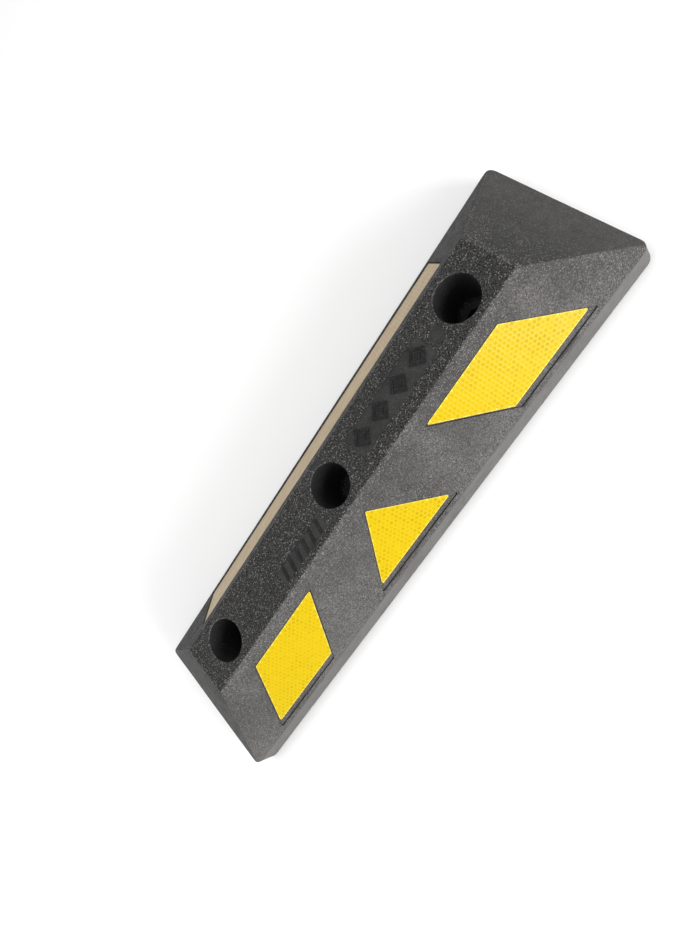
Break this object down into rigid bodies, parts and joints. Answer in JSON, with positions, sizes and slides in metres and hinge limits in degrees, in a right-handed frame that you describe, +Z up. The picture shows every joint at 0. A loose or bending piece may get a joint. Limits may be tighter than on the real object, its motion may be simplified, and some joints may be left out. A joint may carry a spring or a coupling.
{
  "type": "wheel chock",
  "caption": "Low rubber wheel stop with sloped sides and ends, hollow underside, counterbored fixing holes and recessed reflectors.",
  "frame": {"origin": "centre of the bottom face, on the ground", "axes": "+X along the length, +Z up, -Y towards the side with three yellow reflectors"},
  "size_m": [0.5498, 0.1498, 0.0806],
  "materials": {
    "rubber": "matt recycled rubber, grainy top",
    "reflective_yellow": "honeycomb retroreflective film",
    "reflective_tan": "satin retroreflective film"
  },
  "bodies": {
    "root": {"rubber_body": "rubber", "reflector_front_right": "reflective_yellow", "reflector_front_centre": "reflective_yellow", "reflector_front_left": "reflective_yellow", "reflector_back_strip": "reflective_tan"}
  },
  "joints": []
}
